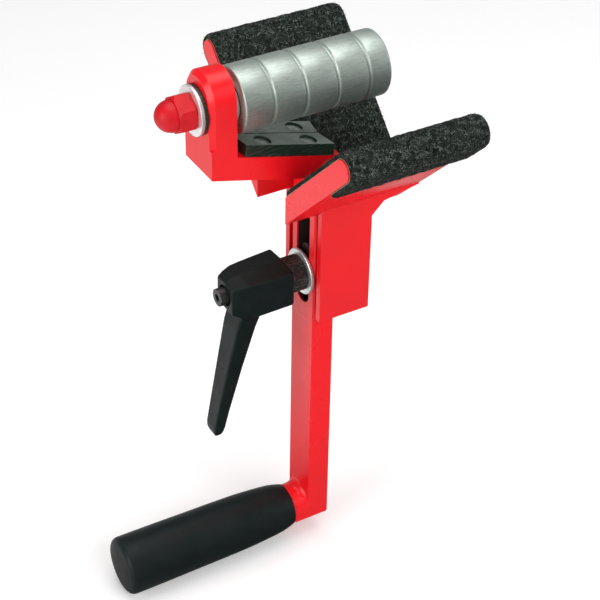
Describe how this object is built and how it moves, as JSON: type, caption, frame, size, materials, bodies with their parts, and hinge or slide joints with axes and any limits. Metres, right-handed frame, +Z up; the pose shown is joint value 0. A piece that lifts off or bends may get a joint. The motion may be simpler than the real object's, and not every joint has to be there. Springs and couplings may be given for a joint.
{
  "type": "pipe chamfering tool",
  "caption": "Hand-cranked tool that chamfers the outside edge of a plastic pipe's end: a grooved roller inside, two sloping blades and a felt-lined V saddle outside.",
  "frame": {"origin": "where the roller's axis meets the face of the head that the pipe end runs against", "axes": "+X along the roller away from the head, +Z up along the crank bar, -Y towards the side with the visible blade edge"},
  "size_m": [0.1868, 0.1612, 0.3381],
  "materials": {
    "red_paint": "smooth gloss red paint",
    "black_steel": "blackened steel, slightly worn",
    "zinc_steel": "bright zinc",
    "aluminium": "turned aluminium",
    "bronze": "plain bearing bronze",
    "black_plastic": "satin black plastic",
    "felt": "charcoal felt with pale fibres"
  },
  "bodies": {
    "frame": {"crank_bar": "red_paint", "head_block": "red_paint", "front_blade": "black_steel", "rear_blade": "black_steel", "blade_screw_1": "zinc_steel", "blade_screw_2": "zinc_steel", "blade_screw_3": "zinc_steel", "blade_screw_4": "zinc_steel", "head_screw_1": "black_steel", "head_screw_2": "black_steel", "roller_axle": "zinc_steel", "axle_cap_nut": "red_paint", "axle_washer": "zinc_steel", "axle_ring": "black_steel", "roller_spacer": "zinc_steel", "axle_end_washer": "zinc_steel", "axle_retaining_ring": "black_steel", "grip_spindle": "zinc_steel", "grip_snap_ring": "black_steel"},
    "roller": {"roller": "aluminium", "roller_bush_left": "bronze", "roller_bush_right": "bronze"},
    "grip": {"grip": "black_plastic"},
    "saddle": {"saddle": "red_paint", "front_felt": "felt", "rear_felt": "felt", "clamp_washer": "zinc_steel", "clamp_nut": "zinc_steel"},
    "clamp": {"clamp_stud": "zinc_steel", "lever_insert": "black_steel", "lever_screw": "black_steel"},
    "lever": {"lever_handle": "black_plastic", "lever_spring": "zinc_steel"}
  },
  "joints": [
    {"name": "roller_spin", "type": "hinge", "parent": "frame", "child": "roller", "pos_m": [0.05, 0, 0], "axis": [1, 0, 0], "continuous": true},
    {"name": "grip_spin", "type": "hinge", "parent": "frame", "child": "grip", "pos_m": [0, 0, -0.2991], "axis": [1, 0, 0], "continuous": true},
    {"name": "saddle_slide", "type": "slide", "parent": "frame", "child": "saddle", "axis": [0, 0, 1], "range_m": [-0.014, 0.025]},
    {"name": "lever_turn", "type": "hinge", "parent": "saddle", "child": "clamp", "pos_m": [0.03, 0, -0.1227], "axis": [1, 0, 0], "range_deg": [-120, 120]},
    {"name": "lever_lift", "type": "slide", "parent": "clamp", "child": "lever", "axis": [-1, 0, 0], "range_m": [0, 0.004], "stiffness_N_per_m": 600, "springref_m": -0.004}
  ]
}
